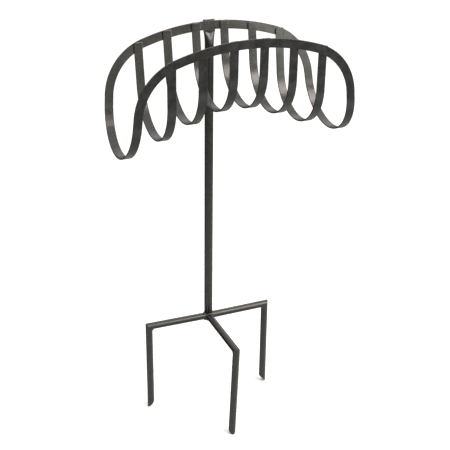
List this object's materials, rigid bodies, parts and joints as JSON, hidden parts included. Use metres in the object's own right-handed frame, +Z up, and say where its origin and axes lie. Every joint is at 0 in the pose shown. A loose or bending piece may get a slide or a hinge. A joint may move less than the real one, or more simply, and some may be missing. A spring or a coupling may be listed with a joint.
{
  "type": "garden hose stand",
  "caption": "Free-standing garden hose stand: a saddle-shaped flat-bar basket on a tall round pole with a T base of pointed ground prongs.",
  "frame": {"origin": "on the axis of the pole, level with the tips of the three prongs", "axes": "+Z up along the pole, +X to the right along the side arms, front arm and basket towards -Y"},
  "size_m": [0.5778, 0.2594, 1.1126],
  "materials": {
    "tube_coat": "satin powder coat, dark bronze-charcoal",
    "bar_coat": "satin powder coat, dark bronze-charcoal",
    "weld_bead": "satin powder coat over a rippled weld bead"
  },
  "bodies": {
    "root": {"pole": "tube_coat", "left_arm": "tube_coat", "right_arm": "tube_coat", "front_arm": "tube_coat", "left_prong": "tube_coat", "right_prong": "tube_coat", "front_prong": "tube_coat", "back_arch": "bar_coat", "front_arch": "bar_coat", "left_end_loop": "bar_coat", "right_end_loop": "bar_coat", "left_outer_rib": "bar_coat", "left_middle_rib": "bar_coat", "left_inner_rib": "bar_coat", "right_inner_rib": "bar_coat", "right_middle_rib": "bar_coat", "right_outer_rib": "bar_coat", "hub_weld": "weld_bead", "corner_welds": "weld_bead", "pole_top_welds": "weld_bead", "back_rib_welds": "weld_bead", "front_rib_welds": "weld_bead"}
  },
  "joints": []
}
